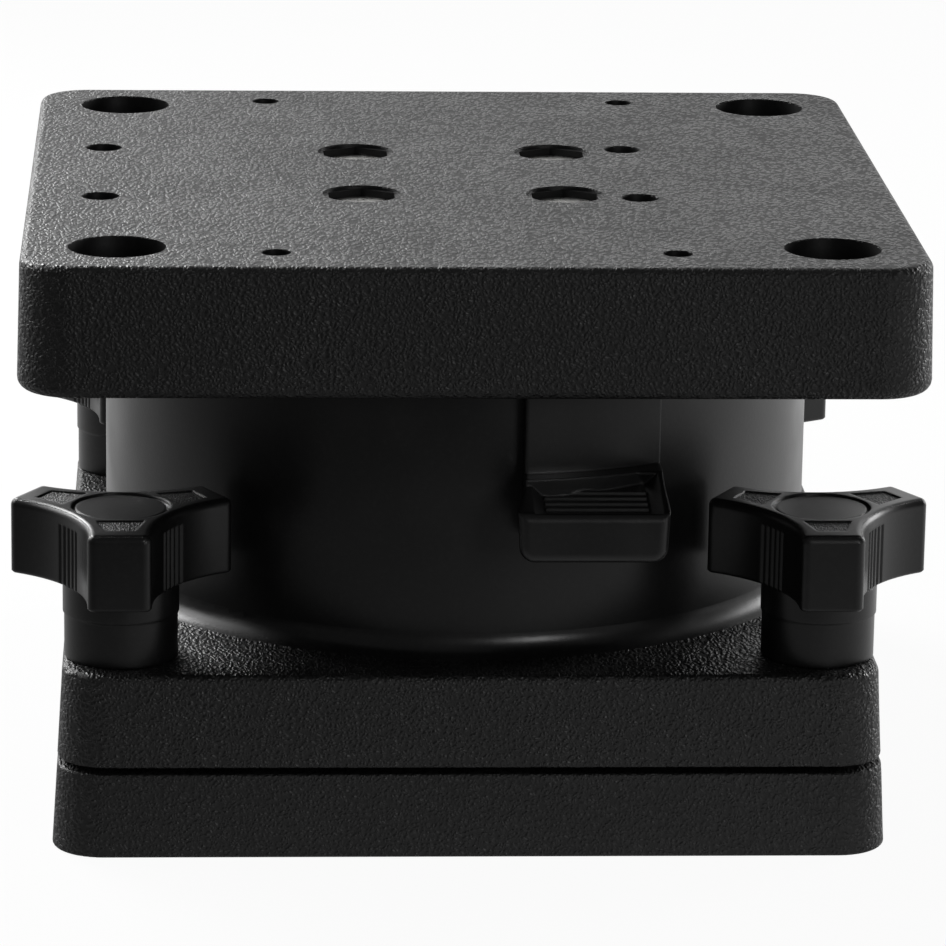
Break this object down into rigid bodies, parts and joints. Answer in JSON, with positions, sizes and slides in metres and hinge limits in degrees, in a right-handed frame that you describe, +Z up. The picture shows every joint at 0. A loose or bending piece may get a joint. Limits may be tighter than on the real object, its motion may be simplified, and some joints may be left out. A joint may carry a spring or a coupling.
{
  "type": "pedestal swivel mount",
  "caption": "Black moulded pedestal swivel mount: square swivel plate with hole patterns on a round pedestal, thumb index latch, base plate clamped to a deck plate by three-arm knobs.",
  "frame": {"origin": "middle of the deck plate's underside, on the swivel axis", "axes": "+Z up along the swivel axis, -Y the front with the latch, +X right seen from the front"},
  "size_m": [0.1984, 0.2031, 0.1299],
  "materials": {
    "grained_plastic": "leather-grain moulded, matte black",
    "satin_plastic": "smooth moulded, satin black",
    "acetal": "smooth natural white",
    "stainless": "bright turned",
    "brass": "turned"
  },
  "bodies": {
    "base": {"deck_plate": "grained_plastic", "deck_inserts": "brass", "pedestal": "grained_plastic", "swivel_bush": "acetal", "upper_thrust_washer": "acetal", "lower_thrust_washer": "acetal"},
    "turntable": {"swivel_plate": "grained_plastic", "swivel_hub": "satin_plastic", "retainer_plate": "stainless", "swivel_bolts": "stainless", "bolt_washers": "stainless", "lock_nuts": "stainless"},
    "latch": {"latch_lever": "satin_plastic", "latch_keeper": "acetal", "keeper_screws": "stainless", "latch_spring": "stainless"},
    "front_left_knob": {"knob_front_left": "satin_plastic", "knob_stud_front_left": "stainless"},
    "front_right_knob": {"knob_front_right": "satin_plastic", "knob_stud_front_right": "stainless"},
    "back_left_knob": {"knob_back_left": "satin_plastic", "knob_stud_back_left": "stainless"},
    "back_right_knob": {"knob_back_right": "satin_plastic", "knob_stud_back_right": "stainless"}
  },
  "joints": [
    {"name": "swivel", "type": "hinge", "parent": "base", "child": "turntable", "pos_m": [0, 0, 0.1014], "axis": [0, 0, 1], "continuous": true},
    {"name": "latch_press", "type": "slide", "parent": "base", "child": "latch", "axis": [0, 0, 1], "range_m": [-0.008, 0], "stiffness_N_per_m": 800, "springref_m": 0.004, "deforming": ["latch_spring"]},
    {"name": "front_left_turn", "type": "hinge", "parent": "base", "child": "front_left_knob", "pos_m": [-0.0755, -0.0774, 0.056], "axis": [0, 0, 1], "continuous": true},
    {"name": "front_right_turn", "type": "hinge", "parent": "base", "child": "front_right_knob", "pos_m": [0.0755, -0.0774, 0.056], "axis": [0, 0, 1], "continuous": true},
    {"name": "back_left_turn", "type": "hinge", "parent": "base", "child": "back_left_knob", "pos_m": [-0.0755, 0.0774, 0.056], "axis": [0, 0, 1], "continuous": true},
    {"name": "back_right_turn", "type": "hinge", "parent": "base", "child": "back_right_knob", "pos_m": [0.0755, 0.0774, 0.056], "axis": [0, 0, 1], "continuous": true}
  ]
}
